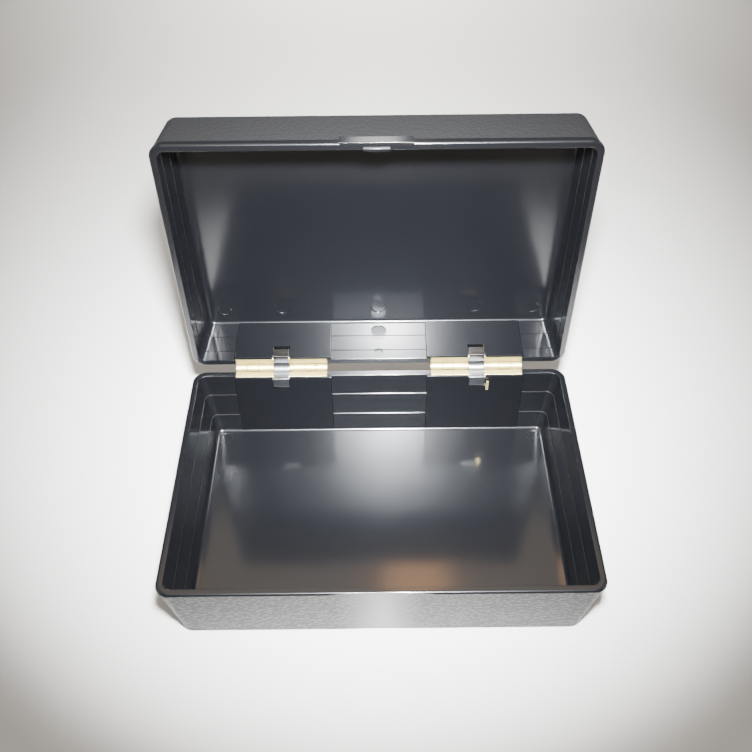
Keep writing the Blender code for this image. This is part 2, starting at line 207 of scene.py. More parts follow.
# Plastic and steel, in metres from here on
PLASTIC_IOR = 1.5
HAZE_TINT = (0.85, 0.92, 1.0, 1.0)
GRAIN_HEIGHT = 0.00011
GRAIN_WARP = 0.0011  # how far the pebbles are pushed out of round
SCOOP_FADE = (0.003, 0.0175)  # |x| over which the grain comes back outside the scoop's smooth middle
SCOOP_WORN = (0.0, 0.007)  # |x| over which the wear of the middle ends
SCOOP_FRONT = (-0.047, -0.044)  # y over which the scoop's finish ends
SCOOP_ROUGH = 0.36
SCOOP_SHINE = 0.07  # how much smoother the worn middle is
PAINTED_SHADE_HEIGHTS = (AXIS.z + 3.7 * MM, AXIS.z + 5.2 * MM)  # heights above which the strips are painted dark brown grey, as painted shade where they lie on the lid's pads and enter its windows
# the dark brown grey of that painted shade
PAINTED_SHADE_STEEL = (0.13, 0.12, 0.11)

# Floor
FLOOR_HALF = 3.0
FLOOR_GAP = 0.0002

# Camera, as seen from the middle of the base's rear rim
CAMERA_DISTANCE = 0.3666
CAMERA_ELEVATION = 46.99
CAMERA_YAW = -0.04
CAMERA_ROLL = -0.57
CAMERA_LENS = 41.6
CAMERA_SHIFT = (-0.0040, -0.0074)
CAMERA_CLIP = 0.01

# Key light, beside the lens
KEY_ABOVE = 0.056
KEY_RIGHT = 0.009
KEY_SIZE = 0.035


# ---------------------------------------------------------------- materials


class Nodes:
    """A material's node tree, with short ways to add and join nodes."""

    def __init__(self, name):
        self.material = bpy.data.materials.new(name)
        self.material.use_nodes = True
        self.tree = self.material.node_tree
        self.shader = self.tree.nodes["Principled BSDF"]

    def set(self, **values):
        for name, value in values.items():
            self.shader.inputs[name.replace("_", " ")].default_value = value

    def add(self, kind, **settings):
        node = self.tree.nodes.new(kind)
        for name, value in settings.items():
            if name in node.inputs:
                node.inputs[name].default_value = value
            else:
                setattr(node, name, value)
        return node

    def link(self, source, target):
        self.tree.links.new(source, target)

    def where(self):
        """The piece's own coordinates, in metres."""
        return self.add("ShaderNodeTexCoord").outputs["Object"]

    def noise(self, where, scale, detail=4.0):
        node = self.add("ShaderNodeTexNoise", Scale=scale, Detail=detail)
        self.link(where, node.inputs["Vector"])
        return node.outputs["Fac"]

    def cells(self, where, scale, **settings):
        """Distance from the nearest point of a scattered set."""
        node = self.add("ShaderNodeTexVoronoi", **settings, Scale=scale)
        self.link(where, node.inputs["Vector"])
        return node.outputs["Distance"]

    def stretch(self, where, factors):
        node = self.add("ShaderNodeMapping", Scale=factors)
        self.link(where, node.inputs["Vector"])
        return node.outputs["Vector"]

    def remap(self, value, low, high, to_low, to_high):
        """Take low..high smoothly to to_low..to_high."""
        node = self.add("ShaderNodeMapRange", interpolation_type="SMOOTHSTEP")
        names = ("From Min", "From Max", "To Min", "To Max")
        for name, number in zip(names, (low, high, to_low, to_high)):
            node.inputs[name].default_value = number
        self.link(value, node.inputs["Value"])
        return node.outputs["Result"]

    def ramp(self, value, low_colour, high_colour):
        """Mix two colours, of which the low one may be a socket."""
        node = self.add("ShaderNodeMix", data_type="RGBA")
        colour_a, colour_b, mixed = node.inputs[6], node.inputs[7], node.outputs[2]
        self.link(value, node.inputs["Factor"])
        if isinstance(low_colour, tuple):
            colour_a.default_value = (*low_colour, 1.0)
        else:
            self.link(low_colour, colour_a)
        colour_b.default_value = (*high_colour, 1.0)
        return mixed

    def math(self, operation, *values):
        """A sum, product or the like, of sockets and numbers."""
        node = self.add("ShaderNodeMath", operation=operation)
        for value, target in zip(values, node.inputs):
            if isinstance(value, float):
                target.default_value = value
            else:
                self.link(value, target)
        return node.outputs[0]

    def apart(self, where):
        node = self.add("ShaderNodeSeparateXYZ")
        self.link(where, node.inputs[0])
        return node.outputs

    def bump(self, height, distance, over=None):
        node = self.add("ShaderNodeBump", Strength=1.0, Distance=distance)
        self.link(height, node.inputs["Height"])
        if over is not None:
            self.link(over, node.inputs["Normal"])
        return node.outputs["Normal"]


def plastic_inside(name, low_rough, high_rough, haze_level, gloss_rough, gloss=1.0):
    """Near-black moulded plastic: a sharp gloss over a hazy one, slightly wavy, with a few dust specks."""
    made = Nodes(name)
    where = made.where()
    made.set(IOR=PLASTIC_IOR, Specular_IOR_Level=haze_level, Specular_Tint=HAZE_TINT)
    made.set(Coat_Weight=gloss, Coat_Roughness=gloss_rough, Coat_IOR=PLASTIC_IOR)
    dust = made.remap(made.cells(where, scale=170.0), 0.02, 0.034, 1.0, 0.0)
    colour = made.ramp(dust, (0.003, 0.0032, 0.0041), (0.035, 0.035, 0.038))
    haze = made.remap(made.noise(where, scale=34.0), 0.35, 0.7, low_rough, high_rough)
    waves = made.bump(made.noise(where, scale=26.0, detail=2.0), distance=0.00005)
    made.link(colour, made.shader.inputs["Base Color"])
    made.link(haze, made.shader.inputs["Roughness"])
    for socket in ("Normal", "Coat Normal"):
        made.link(waves, made.shader.inputs[socket])
    return made.material


def plastic_outside(name):
    """The same plastic with a pebbled leather grain, which fades out in the middle of the scoop."""
    made = Nodes(name)
    where = made.where()
    shift = made.add("ShaderNodeTexNoise", Scale=350.0, Detail=2.0)
    small = made.add("ShaderNodeVectorMath", operation="SCALE", Scale=GRAIN_WARP)
    warped = made.add("ShaderNodeVectorMath", operation="ADD")
    made.link(where, shift.inputs["Vector"])
    made.link(shift.outputs["Color"], small.inputs[0])
    made.link(where, warped.inputs[0])
    made.link(small.outputs["Vector"], warped.inputs[1])
    pebbles = made.cells(warped.outputs["Vector"], scale=640.0, feature="SMOOTH_F1", Smoothness=0.35)
    rise = made.remap(pebbles, 0.1, 0.75, 1.0, 0.0)
    colour = made.ramp(rise, (0.007, 0.0073, 0.0082), (0.0105, 0.0108, 0.0118))
    made.link(colour, made.shader.inputs["Base Color"])

    apart = made.apart(where)
    across = made.math("ABSOLUTE", apart["X"])
    front = made.remap(apart["Y"], *SCOOP_FRONT, 1.0, 0.0)
    scoop = made.math("MULTIPLY", made.remap(across, *SCOOP_FADE, 1.0, 0.0), front)
    plain = made.math("SUBTRACT", 1.0, scoop)
    worn = made.math("MULTIPLY", made.remap(across, *SCOOP_WORN, SCOOP_SHINE, 0.0), front)
    dull = made.remap(rise, 0.0, 1.0, 0.55, 0.42)
    rougher = made.math("MULTIPLY", made.math("SUBTRACT", dull, SCOOP_ROUGH), plain)
    rough = made.math("SUBTRACT", made.math("ADD", rougher, SCOOP_ROUGH), worn)
    made.link(rough, made.shader.inputs["Roughness"])

    grain = made.bump(made.math("MULTIPLY", rise, plain), distance=GRAIN_HEIGHT)
    pits = made.math("MULTIPLY", made.noise(where, scale=2600.0, detail=2.0), plain)
    made.link(made.bump(pits, distance=0.00001, over=grain), made.shader.inputs["Normal"])
    return made.material


def sheet_brass(name):
    """Bright pale brass sheet with rolling marks and a little tarnish."""
    made = Nodes(name)
    made.set(Metallic=1.0)
    where = made.where()
    tarnish = made.remap(made.noise(where, scale=420.0, detail=5.0), 0.35, 0.75, 0.0, 1.0)
    lines = made.noise(made.stretch(where, (60.0, 1900.0, 1900.0)), scale=1.0)
    made.link(made.ramp(tarnish, (0.88, 0.77, 0.38), (0.78, 0.66, 0.29)), made.shader.inputs["Base Color"])
    made.link(made.remap(lines, 0.3, 0.7, 0.46, 0.54), made.shader.inputs["Roughness"])
    made.link(made.bump(lines, distance=0.000004), made.shader.inputs["Normal"])
    return made.material


def steel(name, colour, low_rough, high_rough, factors, painted_shade=None):
    """Bright steel with fine drawing marks. The optional heights are where it is painted dark brown grey, as
    painted shade.
    """
    made = Nodes(name)
    made.set(Metallic=1.0)
    where = made.where()
    lines = made.noise(made.stretch(where, factors), scale=1.0)
    darker = tuple(part * 0.8 for part in colour)
    tone = made.ramp(lines, colour, darker)
    # painted shade: above the given heights the steel's colour is mixed into a dark brown grey
    if painted_shade:
        painted_shade_mix = made.remap(made.apart(where)["Z"], *painted_shade, 0.0, 1.0)
        tone = made.ramp(painted_shade_mix, tone, PAINTED_SHADE_STEEL)
    made.link(tone, made.shader.inputs["Base Color"])
    made.link(made.remap(lines, 0.3, 0.7, low_rough, high_rough), made.shader.inputs["Roughness"])
    made.link(made.bump(lines, distance=0.000006), made.shader.inputs["Normal"])
    return made.material


# ---------------------------------------------------------------- meshes


def height_of(side):
    return BASE_HEIGHT if side == BASE else LID_HEIGHT


def slope_of(side):
    return (BASE_DRAFT if side == BASE else LID_DRAFT) / height_of(side)


def level(side, depth):
    """Height above the hinge axis of a point at this depth below the rim."""
    return side * (RIM_GAP / 2 + depth)


def pad_face(side, depth):
    """y of a hinge pad's inner face."""
    floor = height_of(side) - WALL
    proud = PAD_PROUD_AT_RIM + (PAD_PROUD_AT_FLOOR - PAD_PROUD_AT_RIM) * depth / floor
    return -(AXIS_BACK + WALL + slope_of(side) * depth + proud)


def add_loft(mesh_data, rings, slots=None):
    """Join rings of equal length into one closed body with flat ends. slots gives each gap's material."""
    slots = slots or [0] * (len(rings) + 1)
    loops = [[mesh_data.verts.new(point) for point in ring] for ring in rings]
    count = len(loops[0])
    for slot, low, high in zip(slots[1:], loops, loops[1:]):
        for i in range(count):
            j = (i + 1) % count
            mesh_data.faces.new((low[i], low[j], high[j], high[i])).material_index = slot
    mesh_data.faces.new(list(reversed(loops[0]))).material_index = slots[0]
    mesh_data.faces.new(loops[-1]).material_index = slots[-1]


def add_prism(mesh_data, outline, x_from, x_to, slot=0):
    """Extrude an outline of (y, z) points along X."""
    add_loft(mesh_data, [[(x, y, z) for y, z in outline] for x in (x_from, x_to)], [slot] * 3)


def box_outline(side, y_from, y_to, depth_from, depth_to):
    low, high = level(side, depth_from), level(side, depth_to)
    return [(y_from, low), (y_to, low), (y_to, high), (y_from, high)]


def make_object(name, mesh_data, materials=()):
    mesh = bpy.data.meshes.new(name)
    bmesh.ops.recalc_face_normals(mesh_data, faces=mesh_data.faces)
    mesh_data.to_mesh(mesh)
    mesh_data.free()
    made = bpy.data.objects.new(name, mesh)
    bpy.context.scene.collection.objects.link(made)
    for one in materials:
        mesh.materials.append(one)
    return made


def combine(target, tool_data, operation):
    """Apply a tool body to the target with an exact Boolean."""
    tool = make_object(target.name + "_tool", tool_data, target.data.materials)
    step = target.modifiers.new("combine", "BOOLEAN")
    step.operation = operation
    step.solver = "EXACT"
    step.object = tool
    apply_modifiers(target)
    bpy.data.objects.remove(tool)


def apply_modifiers(target):
    graph = bpy.context.evaluated_depsgraph_get()
    mesh = bpy.data.meshes.new_from_object(target.evaluated_get(graph))
    target.modifiers.clear()
    old = target.data
    target.data = mesh
    mesh.name = target.name
    bpy.data.meshes.remove(old)


def combine_prism(target, outline, x_from, x_to, operation, slot=0):
    tool = bmesh.new()
    add_prism(tool, outline, x_from, x_to, slot)
    combine(target, tool, operation)


def combine_at_hinges(target, outline, half_from, half_to, operation, slot=0):
    tool = bmesh.new()
    for sign in (-1, 1):
        add_prism(tool, outline, sign * half_from, sign * half_to, slot)
    combine(target, tool, operation)


def smooth(target, sharp=SHARP_DEGREES):
    """Smooth the round faces and keep the flat ones flat, with a sharp edge where two slots meet."""
    mesh = target.data
    mesh.shade_smooth()
    mesh.set_sharp_from_angle(angle=math.radians(sharp))
    slots = {}
    for face in mesh.polygons:
        for key in face.edge_keys:
            slots.setdefault(key, set()).add(face.material_index)
    for edge in mesh.edges:
        if len(slots[edge.key]) > 1:
            edge.use_edge_sharp = True
    weights = target.modifiers.new("weights", "WEIGHTED_NORMAL")
    weights.keep_sharp = True
    weights.weight = 100


def place(target, side):
    """Put a finished mesh in the frame, on its body."""
    target.data.transform(PLACES[side])
    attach(target, LABELS[side])


# ---------------------------------------------------------------- shells


def rim_ring(inset, rear_inset, depth, radius, side):
    """A rounded rectangle this far inside the outer rim, at this depth."""
    half_x = WIDTH / 2 - inset - radius
    back = -AXIS_BACK - rear_inset - radius
    front = FRONT + inset + radius
    points = []
    for quarter, (x, y) in enumerate(((half_x, back), (-half_x, back), (-half_x, front), (half_x, front))):
        for step in range(CORNER_STEPS + 1):
            angle = math.radians(90 * (quarter + step / CORNER_STEPS))
            points.append((x + radius * math.cos(angle), y + radius * math.sin(angle), level(side, depth)))
    return points


def quarter_round(inset, depth, radius, steps):
    """Insets and depths down a quarter round that ends at this depth."""
    angles = [math.radians(90 * step / steps) for step in range(steps + 1)]
    return [(inset + radius * (1 - math.cos(a)), depth - radius * (1 - math.sin(a))) for a in angles]


def rounded_rim(edge, inwards, radius):
    """Insets and depths from the flat rim round its edge to the wall. inwards is 1 outside, -1 inside."""
    angles = [math.radians(90 * step / RIM_STEPS) for step in range(RIM_STEPS + 1)]
    return [(edge + inwards * radius * (1 - math.sin(a)), radius * (1 - math.cos(a))) for a in angles]


def soft_step(inset, depth, rise, run):
    """Insets and depths down a small rounded step."""
    points = []
    for step in range(STEP_POINTS + 1):
        t = step / STEP_POINTS
        points.append((inset + rise * (1 - math.cos(math.pi * t)) / 2, depth + run * t))
    return points


def tray(side):
    """A thin-walled tray as one closed body: underside, outer wall, rim, inner wall and floor."""
    height, slope = height_of(side), slope_of(side)
    band, tiers = BANDS[side], TIERS[side]
    outer = rounded_rim(0, 1, RIM_ROUND) + soft_step(slope * band, band, BAND_STEP, BAND_RUN)
    grain_from = len(outer)
    outer_lean = slope * (height - EDGE_RADIUS) + BAND_STEP
    outer += quarter_round(outer_lean, height, EDGE_RADIUS, EDGE_STEPS)

    inner = rounded_rim(WALL, -1, RIM_SOFT)
    for number, depth in enumerate(tiers):
        inner += soft_step(WALL + slope * depth + TIER_STEP * number, depth, TIER_STEP, TIER_RUN)
    floor = height - WALL
    inner_lean = WALL + slope * (floor - FLOOR_FILLET) + TIER_STEP * len(tiers)
    inner += quarter_round(inner_lean, floor, FLOOR_FILLET, EDGE_STEPS)

    rings, slots = [], [GRAINED]
    for number, (inset, depth) in reversed(list(enumerate(outer))):
        rear_inset = inset * REAR_ROUND / RIM_ROUND if depth < RIM_ROUND else inset
        radius = CORNER_RADIUS - max(0, inset - outer_lean)
        rings.append(rim_ring(inset, rear_inset, depth, radius, side))
        slots.append(GRAINED if number >= grain_from else SATIN)
    for inset, depth in inner:
        radius = INNER_CORNER_RADIUS - max(0, inset - inner_lean)
        rings.append(rim_ring(inset, inset, depth, radius, side))
        slots.append(SATIN)
    body = bmesh.new()
    add_loft(body, rings, slots)
    return body


def add_pad(mesh_data, side, sign):
    """A hinge pad with rounded upright edges, sunk into the rear wall."""
    root = height_of(side) - WALL / 2
    rings = []
    for inset, depth in rounded_rim(0, 1, PAD_TOP_SOFT) + [(0, root)]:
        face = pad_face(side, depth) + inset
        back = -AXIS_BACK - WALL / 2 - slope_of(side) * depth
        low, high = PAD_INNER_X + inset, PAD_OUTER_X - inset
        ring = [(low, back)]
        for centre, start in ((low + PAD_EDGE, 180), (high - PAD_EDGE, 270)):
            for step in range(RIM_STEPS + 1):
                angle = math.radians(start + 90 * step / RIM_STEPS)
                ring.append((centre + PAD_EDGE * math.cos(angle), face + PAD_EDGE * (1 + math.sin(angle))))
        ring.append((high, back))
        rings.append([(sign * x, y, level(side, depth)) for x, y in ring])
    add_loft(mesh_data, rings, [POLISHED] * (len(rings) + 1))


def fit_hinge_pads(shell, side):
    """Add the two pads to the rear inner wall, then cut them for the leaves and the springs."""
    pads = bmesh.new()
    for sign in (-1, 1):
        add_pad(pads, side, sign)
    combine(shell, pads, "UNION")

    reach = HINGE_LENGTH / 2 + CLEARANCE
    inner, outer = HINGE_X - reach, HINGE_X + reach
    front, rear = -PLATE_FRONT - CLEARANCE, -PLATE_FRONT + BRASS + CLEARANCE
    pocket = box_outline(side, front, rear, -OUTSIDE, PLATE_LENGTH + 2 * CLEARANCE)
    combine_at_hinges(shell, pocket, inner, outer, "DIFFERENCE")
    seat = box_outline(side, front, -AXIS_BACK + OUTSIDE, -OUTSIDE, SEAT_DEPTH)
    combine_at_hinges(shell, seat, inner, outer, "DIFFERENCE")

    left, right = HINGE_X - WINDOW_HALF, HINGE_X + WINDOW_HALF
    past_face = pad_face(side, WINDOW_BOTTOM) - OUTSIDE
    inside = -PLATE_FRONT + BRASS / 2
    notch = box_outline(side, past_face, inside, -OUTSIDE, SEAT_DEPTH)
    combine_at_hinges(shell, notch, left, right, "DIFFERENCE")
    window = box_outline(side, past_face, inside, WINDOW_TOP, WINDOW_BOTTOM)
    combine_at_hinges(shell, window, left, right, "DIFFERENCE")


def cut_tang_slot(shell):
    """Widen the right-hand window of the base for the locking tang."""
    past_face, inside = pad_face(BASE, WINDOW_BOTTOM) - OUTSIDE, -PLATE_FRONT + BRASS / 2
    outline = box_outline(BASE, past_face, inside, TANG_ROOT[0] - CLEARANCE, WINDOW_BOTTOM)
    left, right = HINGE_X + WINDOW_HALF - BRASS, HINGE_X + TANG_RIGHT + CLEARANCE
    combine_prism(shell, outline, left, right, "DIFFERENCE")


def cut_marks(shell, side):
    """Shallow round ejector marks in the floor, and on the lid's rear wall."""
    marks = bmesh.new()
    floor = height_of(side) - WALL
    corner_x, corner_y = CORNER_MARKS[side]
    spots = [(sign * corner_x, corner_y, CORNER_MARK_RADIUS) for sign in (-1, 1)]
    if side == LID:
        spots += [(x, ROW_MARK_Y, ROW_MARK_RADIUS) for x in (-HINGE_X, 0, HINGE_X)]
    for x, y, radius in spots:
        rings = []
        for wider, sunk in mark_profile():
            rings.append(circle(x, y, level(side, floor + sunk), radius + wider))
        add_loft(marks, rings)
    combine(shell, marks, "DIFFERENCE")
    if side == LID:
        cut_rear_marks(shell)


def mark_profile():
    """How much wider than its flat bottom a mark is, and how deep, down its rounded edge."""
    return [(MARK_DEPTH, -OUTSIDE)] + rounded_rim(0, 1, MARK_DEPTH)


def circle(x, y, z, radius):
    angles = [2 * math.pi * step / CIRCLE_STEPS for step in range(CIRCLE_STEPS)]
    return [(x + radius * math.cos(a), y + radius * math.sin(a), z) for a in angles]


def cut_rear_marks(shell):
    """Ejector marks between the pads on the lid's rear inner wall."""
    marks = bmesh.new()
    for depth, radius in REAR_MARKS:
        passed = sum(1 for tier in TIERS[LID] if tier < depth)
        wall = -(AXIS_BACK + WALL + slope_of(LID) * depth + TIER_STEP * passed)
        rings = []
        for wider, sunk in mark_profile():
            rings.append([(x, wall + sunk, z) for x, z, _ in circle(0, level(LID, depth), 0, radius + wider)])
        add_loft(marks, rings)
    combine(shell, marks, "DIFFERENCE")


def cut_scoop(shell):
    """Shallow upright hollow in the middle of the base's front wall, below the lid's ledge."""
    radius = (SCOOP_HALF**2 + SCOOP_DEPTH**2) / (2 * SCOOP_DEPTH)
    sweep = math.asin(SCOOP_HALF / radius)
    rings = []
    for depth in (-OUTSIDE, BASE_HEIGHT + OUTSIDE):
        face = FRONT + slope_of(BASE) * depth
        ring = []
        for step in range(SCOOP_STEPS + 1):
            angle = sweep * (2 * step / SCOOP_STEPS - 1)
            y = face + SCOOP_DEPTH - radius * (1 - math.cos(angle))
            ring.append((radius * math.sin(angle), y, level(BASE, depth)))
        ring += [(SCOOP_HALF, face - OUTSIDE, ring[0][2]), (-SCOOP_HALF, face - OUTSIDE, ring[0][2])]
        rings.append(ring)
    tool = bmesh.new()
    add_loft(tool, rings, [SCOOPED] * 3)
    combine(shell, tool, "DIFFERENCE")


def cut_catch_notch(shell):
    """Notch in the base's inner front rim that the lid's catch lip drops into."""
    inner = FRONT + WALL
    front = inner + CATCH_SETBACK - CATCH_THICKNESS - CLEARANCE
    outline = box_outline(BASE, front, inner + OUTSIDE, -OUTSIDE, CATCH_REACH + CLEARANCE)
    half = CATCH_HALF + CLEARANCE
    combine_prism(shell, outline, -half, half, "DIFFERENCE")


def rounded_ends(x_half, radius):
    """x and inset of each ring along a body with rounded ends."""
    rings = []
    for step in range(2 * RIM_STEPS + 2):
        part = min(step, 2 * RIM_STEPS + 1 - step)
        angle = math.radians(90 * part / RIM_STEPS)
        sign = -1 if step <= RIM_STEPS else 1
        rings.append((sign * (x_half - radius * (1 - math.cos(angle))), radius * (1 - math.sin(angle))))
    return rings


def rounded_block(x_half, corners, radius):
    """Rings of a block along X whose outline's corners and ends are rounded."""
    rings = []
    for x, inset in rounded_ends(x_half, radius):
        outline = round_corners(shrink(corners, inset), radius, closed=True)
        rings.append([(x, y, z) for y, z in outline])
    return rings


def shrink(corners, inset):
    """Move each side of a convex outline of (y, z) points inwards."""
    count = len(corners)
    centre = [sum(corner[k] for corner in corners) / count for k in (0, 1)]
    lines = []
    for i in range(count):
        start, end = corners[i], corners[(i + 1) % count]
        length = math.dist(start, end)
        normal = ((end[1] - start[1]) / length, -(end[0] - start[0]) / length)
        if (centre[0] - start[0]) * normal[0] + (centre[1] - start[1]) * normal[1] < 0:
            normal = (-normal[0], -normal[1])
        lines.append((normal, normal[0] * start[0] + normal[1] * start[1] + inset))
    moved = []
    for i in range(count):
        (last, last_reach), (this, this_reach) = lines[i - 1], lines[i]
        cross = last[0] * this[1] - last[1] * this[0]
        y = (last_reach * this[1] - this_reach * last[1]) / cross
        z = (last[0] * this_reach - this[0] * last_reach) / cross
        moved.append((y, z))
    return moved


def curve_past(start, corner, end):
    """A short curve of (y, z) points from start to end, tangent to the lines from the corner to both."""
    points = []
    for step in range(BEND_STEPS + 1):
        t = step / BEND_STEPS
        weights = ((1 - t) ** 2, 2 * t * (1 - t), t * t)
        pulled = zip(weights, (start, corner, end))
        points.append(tuple(map(sum, zip(*((weight * y, weight * z) for weight, (y, z) in pulled)))))
    return points


def round_corners(path, radius, closed=False):
    """Replace each corner of a path with a short curve that is tangent to both its sides."""
    if closed:
        triples = [(path[i - 1], path[i], path[(i + 1) % len(path)]) for i in range(len(path))]
        rounded = []
    else:
        triples = list(zip(path, path[1:], path[2:]))
        rounded = [path[0]]
    for before, corner, after in triples:
        ends = []
        for other in (before, after):
            span = math.dist(corner, other)
            reach = min(radius, span * BEND_SHARE)
            ends.append([c + (o - c) * reach / span for c, o in zip(corner, other)])
        rounded += curve_past(ends[0], corner, ends[1])
    return rounded if closed else rounded + [path[-1]]


def add_ledge_and_catch(shell):
    """Thumb ledge outside the lid's front wall, and the catch lip inside its rim."""
    near, far = LEDGE_DEPTHS
    proud = FRONT - LEDGE_PROUD
    corners = [
        (FRONT + WALL / 2, level(LID, near)),
        (proud, level(LID, near)),
        (proud + slope_of(LID) * far, level(LID, far)),
        (FRONT + WALL / 2, level(LID, far)),
    ]
    ledge = bmesh.new()
    add_loft(ledge, rounded_block(LEDGE_HALF, corners, LEDGE_ROUND))
    combine(shell, ledge, "UNION")

    inner = FRONT + WALL + CATCH_SETBACK
    corners = box_outline(LID, inner - CATCH_THICKNESS, inner, -CATCH_REACH, CATCH_ROOT)
    catch = bmesh.new()
    add_loft(catch, rounded_block(CATCH_HALF, corners, CATCH_SETBACK))
    combine(shell, catch, "UNION")


def make_shell(side, materials):
    name = LABELS[side] + "_shell"
    shell = make_object(name + "_surface", tray(side), materials)
    fit_hinge_pads(shell, side)
    cut_marks(shell, side)
    if side == BASE:
        cut_tang_slot(shell)
        cut_scoop(shell)
        cut_catch_notch(shell)
    else:
        add_ledge_and_catch(shell)
    smooth(shell)
    place(shell, side)
    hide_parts(name)


# ---------------------------------------------------------------- hinges


def knuckle_spans():
    """x ranges of the knuckles from the hinge's middle, nearest first: lid, base, lid, base."""
    pitch = HINGE_LENGTH / PITCHES
    gap = CLEARANCE / 2
    spans = [(WINDOW_HALF, WINDOW_HALF + NARROW_KNUCKLE)]
    for number in range(1, PITCHES // 2):
        spans.append((number * pitch + gap, (number + 1) * pitch - gap))
    spans[-1] = (spans[-1][0], HINGE_LENGTH / 2)
    return spans


def leaf_path(side):
    """Middle line of the bent sheet, from the plate's end to the flange's rear edge, then round the pin."""
    plate, flange = -PLATE_FRONT + BRASS / 2, FLANGE_TOP + BRASS / 2
    end = FLANGE_TOP + PLATE_LENGTH
    bent = round_corners([(plate, end), (plate, flange), (-FLANGE_BACK, flange)], SHEET_BEND)
    window = [(plate, RIM_GAP / 2 + depth) for depth in (LEAF_WINDOW_BOTTOM, WINDOW_TOP)]
    flat = [bent[0], *window, *bent[1:]]

    start = math.radians(KNUCKLE_START)
    on_circle = (KNUCKLE_RADIUS * math.cos(start), -KNUCKLE_RADIUS * math.sin(start))
    run = (on_circle[1] - flange) / math.cos(start)
    crossing = (on_circle[0] + run * math.sin(start), flange)
    rolled = curve_past((-FLANGE_BACK, flange), crossing, on_circle)[1:-1]
    for step in range(KNUCKLE_STEPS + 1):
        angle = math.radians(KNUCKLE_START + (KNUCKLE_END - KNUCKLE_START) * step / KNUCKLE_STEPS)
        rolled.append((KNUCKLE_RADIUS * math.cos(angle), -KNUCKLE_RADIUS * math.sin(angle)))
    return [(y, side * z) for y, z in flat], [(y, side * z) for y, z in rolled]


def sheet_from_path(name, rows, columns, keep, thickness, bevel, look):
    """A bent sheet: rows of (y, z) along its path, columns of x across it, with some cells left out."""
    body = bmesh.new()
    grid = [[body.verts.new((x, y, z)) for x in columns] for y, z in rows]
    for i in range(len(rows) - 1):
        for j in range(len(columns) - 1):
            if keep(i, (columns[j] + columns[j + 1]) / 2):
                body.faces.new((grid[i][j], grid[i][j + 1], grid[i + 1][j + 1], grid[i + 1][j]))
    bmesh.ops.delete(body, geom=[v for v in body.verts if not v.link_faces], context="VERTS")
    sheet = make_object(name, body, [look])
    thick = sheet.modifiers.new("thickness", "SOLIDIFY")
    thick.thickness = thickness
    thick.offset = 0.0
    thick.use_even_offset = True
    soft = sheet.modifiers.new("edges", "BEVEL")
    soft.width = bevel
    soft.segments = BEVEL_SEGMENTS
    soft.limit_method = "ANGLE"
    soft.angle_limit = math.radians(BEVEL_DEGREES)
    apply_modifiers(sheet)
    return sheet


def make_leaf(label, side, x_centre, look):
    """Brass leaf: the plate in the pocket, the flange over the rim and every second knuckle."""
    flat, rolled = leaf_path(side)
    rows = flat + rolled
    spans = knuckle_spans()[0 if side == LID else 1 :: 2]
    edges = {-HINGE_LENGTH / 2, HINGE_LENGTH / 2, -WINDOW_HALF, WINDOW_HALF}
    for near, far in spans:
        edges |= {near, far, -near, -far}
    columns = sorted(edges)

    def keep(row, x):
        """The plate has a window in its row 1, and the rolled part has only its knuckles."""
        across = abs(x - x_centre)
        if row < len(flat) - 1:
            return row != 1 or across > WINDOW_HALF
        return any(near < across < far for near, far in spans)

    node = f"hinge_{label}_{LABELS[side]}_leaf"
    shifted = [x_centre + x for x in columns]
    leaf = sheet_from_path(node + "_sheet", rows, shifted, keep, BRASS, BRASS_BEVEL, look)
    if side == BASE and x_centre > 0:
        add_tang(leaf, x_centre)
    smooth(leaf, SHEET_SHARP_DEGREES)
    place(leaf, side)
    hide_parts(node)


def add_tang(leaf, x_centre):
    """Locking tang bent out of the plate, through the widened window and over the pad's face."""
    bar_back = pad_face(BASE, TANG_BAR[1]) - CLEARANCE
    bar_front = bar_back - TANG_THICKNESS
    low, high = (level(BASE, depth) for depth in TANG_BAR)
    root_low, root_high = (level(BASE, depth) for depth in TANG_ROOT)
    outline = [
        (-PLATE_FRONT + BRASS / 2, root_low),
        (bar_back, root_low),
        (bar_back, low),
        (bar_front, low),
        (bar_front, high),
        (bar_back, high),
        (bar_back, root_high),
        (-PLATE_FRONT + BRASS / 2, root_high),
    ]
    tang = bmesh.new()
    add_prism(tang, outline, x_centre + TANG_LEFT, x_centre + TANG_RIGHT)
    bmesh.ops.bevel(
        tang, geom=tang.edges[:], offset=BRASS_BEVEL, segments=BEVEL_SEGMENTS, affect="EDGES", profile=0.5
    )
    combine(leaf, tang, "UNION")


def make_pin(label, x_centre, look):
    """Steel pin with rounded ends."""
    body = bmesh.new()
    rings = []
    for x, inset in rounded_ends(HINGE_LENGTH / 2 - CLEARANCE, PIN_SOFT):
        rings.append([(x_centre + x, y, z) for y, z, _ in circle(0, 0, 0, PIN_RADIUS - inset)])
    add_loft(body, rings)
    node = f"hinge_{label}_pin"
    pin = make_object(node + "_round", body, [look])
    smooth(pin)
    place(pin, BASE)
    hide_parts(node)


def swing(point):
    """Turn a (y, z) point of the shut lid to the open angle about the hinge axis."""
    y, z = point
    cos, sin = math.cos(-OPEN_ANGLE), math.sin(-OPEN_ANGLE)
    return (y * cos - z * sin, y * sin + z * cos)


def spring_half(side):
    """Centre line of the strip from its hooked end in the window to the edge of the flange."""
    stand_off = CLEARANCE + SPRING_THICKNESS / 2
    run = side * (FLANGE_TOP - stand_off)
    hook = level(side, SPRING_HOOK_DEPTH)
    return [
        (-PLATE_FRONT + BRASS / 2, hook),
        (pad_face(side, SPRING_HOOK_DEPTH) - stand_off, hook),
        (pad_face(side, 0) - stand_off, run),
        (-SPRING_LIFT, run),
    ]


